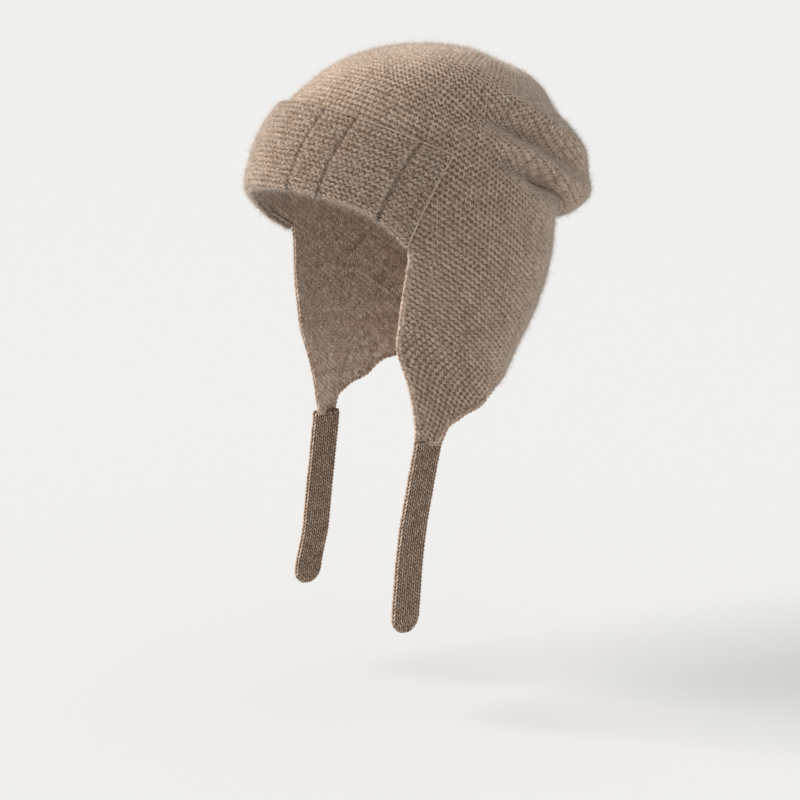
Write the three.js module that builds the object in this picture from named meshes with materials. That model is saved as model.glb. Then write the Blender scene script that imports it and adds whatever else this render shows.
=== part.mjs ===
// Knitted aviator hat: a soft crown with ear flaps, a turned-up front brim and two flat ties.
// Millimetres, +Z up. The front of the hat faces -Y and the wearer's left is +X.
// The origin is the middle of the head opening at the height of the brow.
import * as THREE from "three";

const rad = THREE.MathUtils.degToRad;
const lerp = THREE.MathUtils.lerp;

// Driving dimensions
const HALF_LENGTH = 104; // brow to origin, outside of the knit
const HALF_WIDTH = 84; // temple to origin, outside of the knit
const CROWN_HEIGHT = 102; // top of the crown above the origin
const FLAP_DROP = 143; // tip of an ear flap below the origin
const ROLL_REACH = 32; // how far the slouched roll at the back stands past the skull
const FOLD_DEPTH = 12; // depth of the crease under the roll, which the other folds are shares of
const WALL = 3.6; // thickness of the knit
const BAND_WALL = 3.4; // thickness of the turned-up band
const CLEARANCE = 0.8; // gap between two pieces that are sewn together
const SEAM_GAP = 0.3; // gap between a flap tip and its tie
const GROOVE_WIDTH = 3.2; // a sunk rib between two panels of the band
const GROOVE_DEPTH = 1.3;
const TIE_LENGTH = 119;
const TIE_WIDTH = 21.5;
const TIE_THICKNESS = 5;
const END_TURN = rad(82); // how far round the end of a tie its last section lies
const END_THINNING = 0.6; // a tie's thickness at its very end, as a share

// Angles round the head are in degrees from the middle of the front, towards the wearer's left.
const FLAP_FRONT = 66; // front edge of an ear flap
const TIP_BACK = 80; // back end of the short straight edge that a tie is sewn to
const BAND_END_GAP = 1.1; // from the band's sewn end to a flap's front edge, at the band's fold
const BAND_END_LEAN = 9; // how much further back the band's sewn end is at its top
const EGG = 0.045; // how much wider the back of each ring is than its front
const SWAY_HOLD = 46; // how far behind a flap's front edge the knit still sways with it

// Knit rows run round the hat in rings that lean back. A ring is numbered by its turn: 0 is the
// brow-to-nape ring, rings below it reach only the flaps, and the last one closes to the pole.
const POLE = 11;

/** Turns rows of numbers into objects with the column names as keys. */
function table(columns, rows) {
  return rows.map((row) => Object.fromEntries(columns.map((name, i) => [name, row[i]])));
}

// Y as shares of HALF_LENGTH, X of HALF_WIDTH, Z of CROWN_HEIGHT above the origin and of FLAP_DROP
// below it, and roll as shares of ROLL_REACH, added to the back's Y. Blunt is 0 for an oval back.
const RINGS = table(
  ["turn", "frontY", "frontZ", "sideX", "sideY", "sideZ", "backY", "backZ", "roll", "blunt"],
  [
    [-4, -0.67, -0.9, 0.77, -0.04, -1.31, 0.3, -1.46, 0, 0],
    [-3, -0.82, -0.63, 0.805, -0.05, -1.05, 0.36, -1.27, 0, 0],
    [-2, -0.93, -0.35, 0.845, -0.05, -0.77, 0.375, -1.08, 0, 0],
    [-1, -0.99, -0.13, 0.91, -0.05, -0.54, 0.465, -0.9, 0, 0.02],
    [0, -1, 0.13, 0.958, -0.04, -0.315, 0.62, -0.72, 0, 0.04],
    [1, -0.96, 0.31, 0.988, -0.02, -0.17, 0.78, -0.55, 0, 0.05],
    [2, -0.88, 0.48, 1, 0.02, -0.02, 0.89, -0.39, 0, 0.06],
    [3, -0.74, 0.65, 0.982, 0.08, 0.18, 0.94, -0.24, 0, 0.1],
    [4, -0.58, 0.78, 0.94, 0.15, 0.37, 0.95, -0.085, 0.02, 0.18],
    [5, -0.385, 0.89, 0.87, 0.25, 0.53, 0.96, -0.09, 0.42, 0.3],
    [6, -0.17, 0.96, 0.8, 0.35, 0.65, 0.97, -0.005, 0.92, 0.36],
    [7, 0.06, 1, 0.715, 0.43, 0.73, 0.97, 0.18, 0.97, 0.36],
    [8, 0.27, 1, 0.595, 0.53, 0.78, 0.97, 0.36, 0.75, 0.34],
    [9, 0.47, 0.965, 0.44, 0.65, 0.815, 0.95, 0.54, 0.46, 0.3],
    [10, 0.67, 0.89, 0.24, 0.79, 0.82, 0.9, 0.69, 0.25, 0.2],
    [11, 0.875, 0.79, 0, 0.875, 0.79, 0.875, 0.79, 0, 0],
  ],
);

// Where the lower edge of the knit lies behind the flaps' front edges.
const LOWER_EDGE = table(
  ["angle", "turn"],
  [
    [FLAP_FRONT, -3.3],
    [TIP_BACK, -3.03],
    [85.7, -2.66],
    [91, -2.48],
    [98, -2.26],
    [104.5, -2.06],
    [110, -1.86],
    [115, -1.6],
    [120, -1.35],
    [125, -1.12],
    [132, -0.88],
    [145, -0.56],
    [160, -0.31],
    [180, -0.17],
  ],
);

// Where the lower edge of the band lies: place as a share of the way to a flap's front edge,
// negative on the wearer's right.
const BAND_LOW = table(
  ["share", "turn"],
  [
    [-1, 0],
    [-0.83, -0.08],
    [-0.67, -0.08],
    [-0.5, -0.03],
    [-0.33, 0.03],
    [-0.17, 0.06],
    [0, 0.08],
    [0.17, 0.14],
    [0.33, 0.26],
    [0.5, 0.36],
    [0.67, 0.45],
    [0.83, 0.4],
    [1, 0],
  ],
);
const BAND_HIGH = { middle: 3.02, end: 3.28 }; // turn of the band's free top edge
const TOP_ROUNDING = 0.5; // how far that edge rounds off, as a share of the band's wall

// The band's fold from inside the hat round to its face. Out is a share of WALL where it is
// negative and of the way to the face where it isn't, and high is a share of the band's wall.
const FOLD_SECTION = table(
  ["out", "high"],
  [
    [-1, 1],
    [-0.8, 0.35],
    [0, 0],
    [0.6, 0.12],
    [1, 0.7],
  ],
);

// How the flap's front edge wanders, in degrees, going down the flap.
const FLAP_EDGE_SWAY = table(
  ["turn", "angle"],
  [
    [-4, 2.4],
    [-3.2, 2.5],
    [-2.95, 2.8],
    [-2.7, 2],
    [-2.45, 0.4],
    [-2.25, -2],
    [-2.08, -3.7],
    [-1.9, -4.3],
    [-1.5, -3.2],
    [-1.1, -2.4],
    [-0.6, -1],
    [-0.2, 0],
    [0, 0],
  ],
);

// Sunk ribs of the band, as shares of the way from its middle to its right or left end. The band
// sits a little turned round the head, so they aren't mirrored.
const GROOVES = [-0.76, -0.37, -0.14, 0.28, 0.48, 0.83];

// Ridges and valleys of the slouched back. Turn and angle place a fold's middle, slant is in turns
// per degree, reach along it in degrees, width across it in turns, and height a share of FOLD_DEPTH,
// negative for a valley.
const FOLDS = table(
  ["turn", "angle", "slant", "reach", "width", "height"],
  [
    [4.36, 126, 0.012, 25, 0.32, -1],
    [4.98, 118, 0.022, 33, 0.36, 0.54],
    [5.6, 109, 0.022, 31, 0.42, -0.7],
    [6.6, 113, 0.018, 33, 0.5, 0.37],
    [8.7, 138, 0.012, 24, 0.5, -0.25],
    [9.25, 58, 0.004, 24, 0.5, -0.37],
    [4.32, 238, -0.012, 26, 0.34, -0.75],
    [4.95, 246, -0.018, 34, 0.36, 0.42],
    [5.55, 250, -0.018, 30, 0.42, -0.5],
    [6.6, 244, -0.016, 34, 0.5, 0.25],
  ],
);

const TIE_SWING = 18; // how far forward of its flap's tip a tie's end hangs

// Section of a tie: shares of its width and of its thickness.
const TIE_SECTION = table(
  ["along", "through"],
  [
    [0.5, 0],
    [0.43, 0.4],
    [0.25, 0.5],
    [-0.25, 0.5],
    [-0.43, 0.4],
    [-0.5, 0],
    [-0.43, -0.4],
    [-0.25, -0.5],
    [0.25, -0.5],
    [0.43, -0.4],
  ],
);

// How each tie hangs: drop as shares of TIE_LENGTH, forward as shares of TIE_SWING.
const TIES = [
  {
    name: "tie_left",
    side: 1,
    path: table(
      ["drop", "forward"],
      [
        [0, 0],
        [0.26, 0.37],
        [0.45, 0.62],
        [0.62, 0.77],
        [0.8, 0.87],
        [1, 0.98],
      ],
    ),
  },
  {
    name: "tie_right",
    side: -1,
    path: table(
      ["drop", "forward"],
      [
        [0, 0],
        [0.2, 0.16],
        [0.47, 0.37],
        [0.66, 0.52],
        [0.82, 0.78],
        [0.96, 0.92],
      ],
    ),
  },
];

// Mesh steps
const FRONT_STEPS = 14; // columns from the middle of the front to a flap's front edge
const TIP_STEPS = 3; // columns along a flap's tip
const BACK_STEPS = 15; // columns from there to the middle of the back
// Rows up the crown, closer together where the folds are.
const CROWN_ROWS = table(
  ["upTo", "rows"],
  [
    [3.2, 7],
    [6.8, 14],
    [POLE, 9],
  ],
);
const FLAP_ROWS = 10;
const BAND_STEP = 6.5; // longest step along the band
const BAND_ROWS = 4; // rows up each face of the band
const TIE_STEPS = 13; // down a tie's straight part
const ROUND_STEPS = 5; // round its end

/** Height of a Z share, which follows the crown above the origin and the flaps below it. */
function height(share) {
  return share * (share > 0 ? CROWN_HEIGHT : FLAP_DROP);
}

/** A row's values between its neighbours, on a smooth curve through them. */
function curveThrough(before, from, to, after, f) {
  const a = 2 * from;
  const b = (to - before) * f;
  const c = (2 * before - 5 * from + 4 * to - after) * f * f;
  const d = (3 * from - before - 3 * to + after) * f * f * f;
  return (a + b + c + d) / 2;
}

/** The front, side and back points of the ring at a turn. */
function ringAt(turn) {
  const last = RINGS.length - 1;
  const first = RINGS[0].turn;
  const i = THREE.MathUtils.clamp(Math.floor(turn - first), 0, last - 1);
  const f = turn - first - i;
  const value = (read) => {
    const from = read(RINGS[i]);
    const to = read(RINGS[i + 1]);
    const before = i > 0 ? read(RINGS[i - 1]) : 2 * from - to;
    const after = i + 2 <= last ? read(RINGS[i + 2]) : 2 * to - from;
    return curveThrough(before, from, to, after, f);
  };
  return {
    frontY: value((r) => r.frontY * HALF_LENGTH),
    frontZ: value((r) => height(r.frontZ)),
    sideX: value((r) => r.sideX * HALF_WIDTH),
    sideY: value((r) => r.sideY * HALF_LENGTH),
    sideZ: value((r) => height(r.sideZ)),
    backY: value((r) => r.backY * HALF_LENGTH + r.roll * ROLL_REACH),
    backZ: value((r) => height(r.backZ)),
    blunt: value((r) => r.blunt),
  };
}

/** A point of the smooth outer surface, before its folds. */
function smoothPoint(angle, turn) {
  const ring = ringAt(turn);
  const a = rad(angle);
  const round = (front, side, back) =>
    (front + back + 2 * side) / 4 +
    ((front - back) / 2) * Math.cos(a) +
    ((front + back - 2 * side) / 4) * Math.cos(2 * a);
  const sine = Math.sin(a);
  const power = Math.cos(a) < 0 ? 1 - ring.blunt : 1;
  const across = Math.sign(sine) * Math.abs(sine) ** power;
  return new THREE.Vector3(
    ring.sideX * (across - EGG * Math.sin(2 * a)),
    round(ring.frontY, ring.sideY, ring.backY),
    round(ring.frontZ, ring.sideZ, ring.backZ),
  );
}

/** The outward normal of the smooth surface. */
function normalAt(angle, turn) {
  const STEP = 0.02;
  const t = Math.min(turn, POLE - 2 * STEP);
  const round = smoothPoint(angle + STEP, t).sub(smoothPoint(angle - STEP, t));
  const up = smoothPoint(angle, t + STEP).sub(smoothPoint(angle, t - STEP));
  return round.cross(up).normalize();
}

/** How far the folds move the surface outwards at a place. */
function foldHeight(angle, turn) {
  const whole = THREE.MathUtils.euclideanModulo(angle, 360);
  return FOLDS.reduce((sum, fold) => {
    const along = (whole - fold.angle) / fold.reach;
    const middle = fold.turn + fold.slant * (whole - fold.angle);
    const across = (turn - middle) / fold.width;
    return sum + fold.height * FOLD_DEPTH * Math.exp(-along * along - across * across);
  }, 0);
}

/** A point at a distance outside the finished outer surface; inside where it is negative. */
function surfacePoint(angle, turn, outward = 0) {
  const normal = normalAt(angle, turn);
  return smoothPoint(angle, turn).addScaledVector(normal, foldHeight(angle, turn) + outward);
}

/** A value between the rows of a two-column table, on a smooth curve through them. */
function between(rows, from, to, at) {
  const last = rows.length - 1;
  const found = rows.findIndex((row) => row[from] >= at);
  const i = found < 0 ? last : Math.max(found, 1);
  const low = rows[i - 1];
  const high = rows[i];
  const f = THREE.MathUtils.clamp((at - low[from]) / (high[from] - low[from]), 0, 1);
  const before = i > 1 ? rows[i - 2][to] : 2 * low[to] - high[to];
  const after = i < last ? rows[i + 1][to] : 2 * high[to] - low[to];
  return curveThrough(before, low[to], high[to], after, f);
}

/** An angle as -180 to 180. */
function signed(angle) {
  return THREE.MathUtils.euclideanModulo(angle + 180, 360) - 180;
}

/** An angle's distance from the middle of the front, 0 to 180. */
function fromFront(angle) {
  return Math.abs(signed(angle));
}

/** Turns a length along a column into turns, near the band's lower edge. */
function turnsOf(angle, turn, length) {
  const STEP = 0.5;
  return (length * STEP) / smoothPoint(angle, turn).distanceTo(smoothPoint(angle, turn + STEP));
}

/** The turn of the band's lower edge at an angle. */
function bandLow(angle) {
  const a = THREE.MathUtils.clamp(signed(angle), -FLAP_FRONT, FLAP_FRONT);
  return between(BAND_LOW, "share", "turn", a / FLAP_FRONT);
}

/** The turn of the knit's front edge, which sits in the band's fold. */
function frontEdge(angle) {
  const low = bandLow(angle);
  return low + turnsOf(angle, low, BAND_WALL + CLEARANCE);
}

/** Where the crown's columns begin; behind the flaps' front edges it is one level ring. */
function joinTurn(angle) {
  return frontEdge(THREE.MathUtils.clamp(signed(angle), -FLAP_FRONT, FLAP_FRONT));
}

/** A column's angle at a turn: near a flap's front edge it sways with that edge. */
function swayed(angle, turn) {
  const a = fromFront(angle);
  if (turn >= 0 || a < FLAP_FRONT) return angle;
  const share = THREE.MathUtils.clamp(1 - (a - FLAP_FRONT) / SWAY_HOLD, 0, 1);
  const sway = between(FLAP_EDGE_SWAY, "turn", "angle", turn) * share;
  return signed(angle) < 0 ? angle - sway : angle + sway;
}

/** Columns round the whole hat, the flap edges among them. */
function columnAngles() {
  const half = [];
  for (let i = 0; i < FRONT_STEPS; i++) half.push((FLAP_FRONT * i) / FRONT_STEPS);
  for (let i = 0; i < TIP_STEPS; i++) half.push(lerp(FLAP_FRONT, TIP_BACK, i / TIP_STEPS));
  for (let i = 0; i < BACK_STEPS; i++) half.push(lerp(TIP_BACK, 180, i / BACK_STEPS));
  const mirrored = half.slice(1).map((angle) => 360 - angle);
  return [...half, 180, ...mirrored.reverse()];
}

/** Levels of the crown's rows below the pole, as shares of the way up. */
function crownShares() {
  const shares = [];
  let from = 0;
  for (const { upTo, rows } of CROWN_ROWS) {
    for (let i = 0; i < rows; i++) shares.push(lerp(from, upTo, i / rows) / POLE);
    from = upTo;
  }
  return shares;
}

/** A mesh that is filled point by point and face by face. */
class Surface {
  constructor() {
    this.points = [];
    this.faces = [];
  }

  add(point) {
    this.points.push(point);
    return this.points.length - 1;
  }

  /** Adds four corners as two triangles, split from a to c, or from b to d where it is crossed. */
  quad(a, b, c, d, crossed = false) {
    if (crossed) this.faces.push([b, c, d], [b, d, a]);
    else this.faces.push([a, b, c], [a, c, d]);
  }

  /** Edges that only one face has, each in that face's direction. */
  openEdges() {
    const key = (a, b) => `${a},${b}`;
    const edges = new Map();
    for (const face of this.faces) {
      for (let i = 0; i < 3; i++) {
        const [from, to] = [face[i], face[(i + 1) % 3]];
        edges.set(key(from, to), [from, to]);
      }
    }
    return [...edges.values()].filter(([a, b]) => !edges.has(key(b, a)));
  }

  geometry() {
    const made = new THREE.BufferGeometry();
    const numbers = this.points.flatMap((point) => point.toArray());
    made.setAttribute("position", new THREE.Float32BufferAttribute(numbers, 3));
    made.setIndex(this.faces.flat());
    made.computeVertexNormals();
    return made;
  }
}

/** Places of the knit's columns and rows on the surface, as angle and turn. */
function knitLayout() {
  const sheet = new Surface();
  const angles = columnAngles();
  const shares = crownShares();
  const top = shares.length - 1;
  const crown = angles.map((angle) => {
    const start = joinTurn(angle);
    return shares.map((share) => sheet.add({ angle, turn: lerp(start, POLE, share) }));
  });
  const pole = sheet.add({ angle: 0, turn: POLE });
  const flaps = angles.map((angle, i) => {
    if (fromFront(angle) < FLAP_FRONT - 1e-6) return null;
    const bottom = between(LOWER_EDGE, "angle", "turn", fromFront(angle));
    const column = [];
    for (let row = 0; row < FLAP_ROWS; row++) {
      const turn = lerp(bottom, joinTurn(angle), row / FLAP_ROWS);
      column.push(sheet.add({ angle: swayed(angle, turn), turn }));
    }
    column.push(crown[i][0]);
    return column;
  });
  // the split follows the folds' slant, which is mirrored on the wearer's right
  angles.forEach((angle, i) => {
    const next = (i + 1) % angles.length;
    const crossed = angle >= 180;
    for (let row = 0; row < top; row++)
      sheet.quad(
        crown[i][row],
        crown[next][row],
        crown[next][row + 1],
        crown[i][row + 1],
        crossed,
      );
    sheet.faces.push([crown[i][top], crown[next][top], pole]);
    if (flaps[i] && flaps[next])
      for (let row = 0; row < FLAP_ROWS; row++)
        sheet.quad(flaps[i][row], flaps[next][row], flaps[next][row + 1], flaps[i][row + 1]);
  });
  return sheet;
}

/** The crown, flaps and nape: one knitted wall, open below. */
function crownAndFlaps() {
  const layout = knitLayout();
  const wall = new Surface();
  const count = layout.points.length;
  for (const { angle, turn } of layout.points) wall.add(surfacePoint(angle, turn));
  for (const { angle, turn } of layout.points) wall.add(surfacePoint(angle, turn, -WALL));
  for (const [a, b, c] of layout.faces) wall.faces.push([a, b, c], [c + count, b + count, a + count]);
  for (const [a, b] of layout.openEdges()) wall.quad(b, a, a + count, b + count);
  return wall.geometry();
}

/** A closed solid through a row of loops with equal point counts, with flat or domed ends. */
function loft(loops) {
  const solid = new Surface();
  const size = loops[0].length;
  const rings = loops.map((loop) => loop.map((point) => solid.add(point)));
  for (let i = 0; i + 1 < rings.length; i++)
    for (let k = 0; k < size; k++) {
      const next = (k + 1) % size;
      solid.quad(rings[i][k], rings[i + 1][k], rings[i + 1][next], rings[i][next]);
    }
  return { solid, first: rings[0], last: rings[rings.length - 1] };
}

/** Stations along the band, from one sewn end to the other: place and groove depth. */
function bandStations() {
  const halfArc = rad(FLAP_FRONT) * ((HALF_LENGTH + HALF_WIDTH) / 2);
  const dip = GROOVE_WIDTH / 2 / halfArc;
  const stations = [];
  const marks = [-1, ...GROOVES, 1];
  marks.forEach((mark, i) => {
    const isEnd = Math.abs(mark) === 1;
    if (isEnd) stations.push({ share: mark, depth: 0 });
    else
      stations.push(
        { share: mark - dip, depth: 0 },
        { share: mark, depth: GROOVE_DEPTH },
        { share: mark + dip, depth: 0 },
      );
    if (i + 1 === marks.length) return;
    const from = mark + (isEnd ? 0 : dip);
    const to = marks[i + 1] - (Math.abs(marks[i + 1]) === 1 ? 0 : dip);
    const steps = Math.ceil(((to - from) * halfArc) / BAND_STEP);
    for (let k = 1; k < steps; k++) stations.push({ share: lerp(from, to, k / steps), depth: 0 });
  });
  return stations;
}

/** The band's section at a station: a flat wall with a fold that wraps under the knit's edge. */
function bandLoop({ share, depth }) {
  const angleAt = (high) => share * (FLAP_FRONT - BAND_END_GAP + BAND_END_LEAN * high);
  const low = bandLow(angleAt(0));
  const top = lerp(BAND_HIGH.middle, BAND_HIGH.end, share * share);
  const fold = turnsOf(angleAt(0), low, BAND_WALL);
  const face = CLEARANCE + BAND_WALL;
  const sunk = face - depth;
  const rows = Array.from({ length: BAND_ROWS }, (_, i) => (i + 1) / (BAND_ROWS + 1));
  const shoulder = top - fold * TOP_ROUNDING;
  // how far outward from the knit's outer side, and the turn
  const section = [
    ...FOLD_SECTION.map(({ out, high }) => [out * (out < 0 ? WALL : sunk), low + fold * high]),
    ...rows.map((row) => [sunk, lerp(low, top, row)]),
    [sunk, shoulder],
    [lerp(CLEARANCE, sunk, 0.5), top],
    [CLEARANCE, shoulder],
    ...rows.toReversed().map((row) => [CLEARANCE, lerp(low, top, row)]),
    [CLEARANCE, low + fold],
  ];
  return section.map(([outward, turn]) => {
    const high = (turn - low) / (top - low);
    return surfacePoint(angleAt(high), turn, outward);
  });
}

/** The turned-up band across the front, sewn down at its two ends. */
function turnedUpBrim() {
  const { solid, first, last } = loft(bandStations().map(bandLoop));
  const cap = (ring, flip) => {
    // the section is L-shaped: its fold is a fan from the inner corner, and its wall pairs up across
    const corner = ring.length - 1;
    const foldTop = FOLD_SECTION.length - 1;
    const faces = [];
    for (let k = 0; k < foldTop; k++) faces.push([ring[k], ring[k + 1], ring[corner]]);
    for (let k = 0; k <= BAND_ROWS; k++) {
      const outer = foldTop + k;
      const inner = corner - k;
      faces.push([ring[outer], ring[outer + 1], ring[inner - 1]]);
      faces.push([ring[outer], ring[inner - 1], ring[inner]]);
    }
    const top = foldTop + BAND_ROWS + 1;
    faces.push([ring[top], ring[top + 1], ring[top + 2]]);
    for (const [a, b, c] of faces) solid.faces.push(flip ? [a, b, c] : [c, b, a]);
  };
  cap(first, true);
  cap(last, false);
  return solid.geometry();
}

/** The middle of a flap's tip, half-way through the wall, and the level of its lowest point. */
function flapTip(side) {
  const corner = (angle) => {
    const turn = between(LOWER_EDGE, "angle", "turn", angle);
    return surfacePoint(swayed(angle, turn), turn, -WALL / 2);
  };
  const front = corner(FLAP_FRONT);
  const back = corner(TIP_BACK);
  const middle = front.clone().add(back).multiplyScalar(0.5);
  return new THREE.Vector3(side * middle.x, middle.y, Math.min(front.z, back.z));
}

/** A flat strap with rounded edges that hangs from a flap tip and ends round. */
function tie({ side, path }) {
  const tip = flapTip(side);
  const points = path.map(
    ({ drop, forward }) =>
      new THREE.Vector3(tip.x, tip.y - forward * TIE_SWING, tip.z - SEAM_GAP - drop * TIE_LENGTH),
  );
  const route = new THREE.CatmullRomCurve3(points, false, "centripetal");
  const endShare = TIE_WIDTH / 2 / TIE_LENGTH; // the round end's share of the length
  const loops = [];
  for (let i = 0; i < TIE_STEPS; i++)
    loops.push(strapLoop(route.getPointAt(((1 - endShare) * i) / TIE_STEPS), 1));
  for (let i = 0; i <= ROUND_STEPS; i++) {
    const turned = (i / ROUND_STEPS) * END_TURN;
    const along = 1 - endShare + endShare * Math.sin(turned);
    loops.push(strapLoop(route.getPointAt(along), Math.cos(turned)));
  }
  const { solid, first, last } = loft(loops);
  for (let k = 1; k + 1 < first.length; k++) {
    solid.faces.push([first[0], first[k], first[k + 1]]);
    solid.faces.push([last[0], last[k + 1], last[k]]);
  }
  return solid.geometry();
}

/** A level section of a strap, an oblong with rounded edges, narrowed to a share of its width. */
function strapLoop(centre, share) {
  const width = TIE_WIDTH * share;
  const thickness = TIE_THICKNESS * lerp(END_THINNING, 1, share);
  return TIE_SECTION.map(
    ({ along, through }) =>
      new THREE.Vector3(centre.x + through * thickness, centre.y - along * width, centre.z),
  );
}

const knit = new THREE.MeshStandardMaterial({ color: 0x8a7869, roughness: 0.95, metalness: 0 });
const band = new THREE.MeshStandardMaterial({ color: 0x94816f, roughness: 0.95, metalness: 0 });
const strap = new THREE.MeshStandardMaterial({ color: 0x6f5d4e, roughness: 0.9, metalness: 0 });

/** A named mesh of a finished geometry. */
function piece(name, geometry, material) {
  const mesh = new THREE.Mesh(geometry, material);
  mesh.name = name;
  return mesh;
}

const group = new THREE.Group();
group.name = "knitted_aviator_hat";
group.add(piece("crown_and_flaps", crownAndFlaps(), knit));
group.add(piece("turned_up_brim", turnedUpBrim(), band));
for (const one of TIES) group.add(piece(one.name, tie(one), strap));

export default group;
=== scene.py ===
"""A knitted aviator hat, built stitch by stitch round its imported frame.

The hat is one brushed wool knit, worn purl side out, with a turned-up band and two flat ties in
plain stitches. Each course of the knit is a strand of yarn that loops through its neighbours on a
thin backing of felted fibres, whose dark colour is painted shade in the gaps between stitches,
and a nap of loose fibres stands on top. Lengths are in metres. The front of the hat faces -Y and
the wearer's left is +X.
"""

import logging
import math
from dataclasses import dataclass, field
from enum import Enum

import bpy
import numpy as np
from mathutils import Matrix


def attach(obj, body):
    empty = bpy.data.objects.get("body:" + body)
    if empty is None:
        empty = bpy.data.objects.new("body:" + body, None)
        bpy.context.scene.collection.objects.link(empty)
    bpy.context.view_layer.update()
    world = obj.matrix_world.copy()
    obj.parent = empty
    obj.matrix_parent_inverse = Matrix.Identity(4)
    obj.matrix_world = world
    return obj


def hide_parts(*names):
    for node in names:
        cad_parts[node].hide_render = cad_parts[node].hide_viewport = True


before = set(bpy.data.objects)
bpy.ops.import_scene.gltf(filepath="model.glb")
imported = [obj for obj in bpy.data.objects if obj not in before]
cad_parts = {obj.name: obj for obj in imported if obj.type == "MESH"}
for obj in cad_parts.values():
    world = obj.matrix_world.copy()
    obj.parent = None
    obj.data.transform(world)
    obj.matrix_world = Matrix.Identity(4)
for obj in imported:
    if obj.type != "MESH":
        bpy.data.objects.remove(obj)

MM = 0.001
PATTERN_MAP = "yarn"  # UV map in mm: along the strand, and round it

log = logging.getLogger("knitted_hat")


# Tables of the form
class Curve:
    """A smooth curve through a short table of values."""

    def __init__(self, places: list[float], values: list[float]) -> None:
        """Keeps the table.

        Args:
            places: Where the rows lie, in rising order.
            values: The value at each place.
        """
        self.places = np.array(places, float)
        self.values = np.array(values, float)

    def at(self, place: np.ndarray) -> np.ndarray:
        """Reads the curve, which is level beyond its ends.

        Args:
            place: Places to read it at.

        Returns:
            The value at each place.
        """
        places, values = self.places, self.values
        last = len(places) - 1
        i = np.clip(np.searchsorted(places, place), 1, last)
        low, high = values[i - 1], values[i]
        f = np.clip((place - places[i - 1]) / (places[i] - places[i - 1]), 0, 1)
        before = np.where(i > 1, values[i - 2], 2 * low - high)
        after = np.where(i < last, values[np.minimum(i + 1, last)], 2 * high - low)
        turn = (2 * before - 5 * low + 4 * high - after) * f**2
        bend = (3 * low - before - 3 * high + after) * f**3
        return (2 * low + (high - before) * f + turn + bend) / 2


RING_COLUMNS = "turn front_y front_z side_x side_y side_z back_y back_z roll blunt".split()
# Y as shares of half the length, X of half the width, Z of the crown's height above the origin
# and of the flaps' drop below it, and roll as shares of the roll's reach.
RINGS = (
    (-4, -0.67, -0.9, 0.77, -0.04, -1.31, 0.3, -1.46, 0, 0),
    (-3, -0.82, -0.63, 0.805, -0.05, -1.05, 0.36, -1.27, 0, 0),
    (-2, -0.93, -0.35, 0.845, -0.05, -0.77, 0.375, -1.08, 0, 0),
    (-1, -0.99, -0.13, 0.91, -0.05, -0.54, 0.465, -0.9, 0, 0.02),
    (0, -1, 0.13, 0.958, -0.04, -0.315, 0.62, -0.72, 0, 0.04),
    (1, -0.96, 0.31, 0.988, -0.02, -0.17, 0.78, -0.55, 0, 0.05),
    (2, -0.88, 0.48, 1, 0.02, -0.02, 0.89, -0.39, 0, 0.06),
    (3, -0.74, 0.65, 0.982, 0.08, 0.18, 0.94, -0.24, 0, 0.1),
    (4, -0.58, 0.78, 0.94, 0.15, 0.37, 0.95, -0.085, 0.02, 0.18),
    (5, -0.385, 0.89, 0.87, 0.25, 0.53, 0.96, -0.09, 0.42, 0.3),
    (6, -0.17, 0.96, 0.8, 0.35, 0.65, 0.97, -0.005, 0.92, 0.36),
    (7, 0.06, 1, 0.715, 0.43, 0.73, 0.97, 0.18, 0.97, 0.36),
    (8, 0.27, 1, 0.595, 0.53, 0.78, 0.97, 0.36, 0.75, 0.34),
    (9, 0.47, 0.965, 0.44, 0.65, 0.815, 0.95, 0.54, 0.46, 0.3),
    (10, 0.67, 0.89, 0.24, 0.79, 0.82, 0.9, 0.69, 0.25, 0.2),
    (11, 0.875, 0.79, 0, 0.875, 0.79, 0.875, 0.79, 0, 0),
)
# Ridges and valleys of the slouched back: turn and angle of the middle, slant in turns per degree,
# reach in degrees, width in turns, and height as a share of the deepest crease.
FOLDS = (
    (4.36, 126, 0.012, 25, 0.32, -1),
    (4.98, 118, 0.022, 33, 0.36, 0.54),
    (5.6, 109, 0.022, 31, 0.42, -0.7),
    (6.6, 113, 0.018, 33, 0.5, 0.37),
    (8.7, 138, 0.012, 24, 0.5, -0.25),
    (9.25, 58, 0.004, 24, 0.5, -0.37),
    (4.32, 238, -0.012, 26, 0.34, -0.75),
    (4.95, 246, -0.018, 34, 0.36, 0.42),
    (5.55, 250, -0.018, 30, 0.42, -0.5),
    (6.6, 244, -0.016, 34, 0.5, 0.25),
)
# Turn of the lower edge of the knit, by degrees from the middle of the front.
LOWER_EDGE = Curve(
    [66, 80, 85.7, 91, 98, 104.5, 110, 115, 120, 125, 132, 145, 160, 180],
    [
        -3.3, -3.03, -2.66, -2.48, -2.26, -2.06, -1.86,
        -1.6, -1.35, -1.12, -0.88, -0.56, -0.31, -0.17,
    ],
)
# Turn of the band's lower edge, by share of the way to a flap's front edge.
BAND_LOW = Curve(
    [-1, -0.83, -0.67, -0.5, -0.33, -0.17, 0, 0.17, 0.33, 0.5, 0.67, 0.83, 1],
    [0, -0.08, -0.08, -0.03, 0.03, 0.06, 0.08, 0.14, 0.26, 0.36, 0.45, 0.4, 0],
)
# How the flap's front edge wanders, in degrees, by turn.
FLAP_EDGE_SWAY = Curve(
    [-4, -3.2, -2.95, -2.7, -2.45, -2.25, -2.08, -1.9, -1.5, -1.1, -0.6, -0.2, 0],
    [2.4, 2.5, 2.8, 2, 0.4, -2, -3.7, -4.3, -3.2, -2.4, -1, 0, 0],
)
# How far each tie hangs forward, as a share of its swing, by share of its length.
TIE_FORWARD = {
    "tie_left": Curve([0, 0.26, 0.45, 0.62, 0.8, 1], [0, 0.37, 0.62, 0.77, 0.87, 0.98]),
    "tie_right": Curve([0, 0.2, 0.47, 0.66, 0.82, 0.96], [0, 0.16, 0.37, 0.52, 0.78, 0.92]),
}


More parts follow.
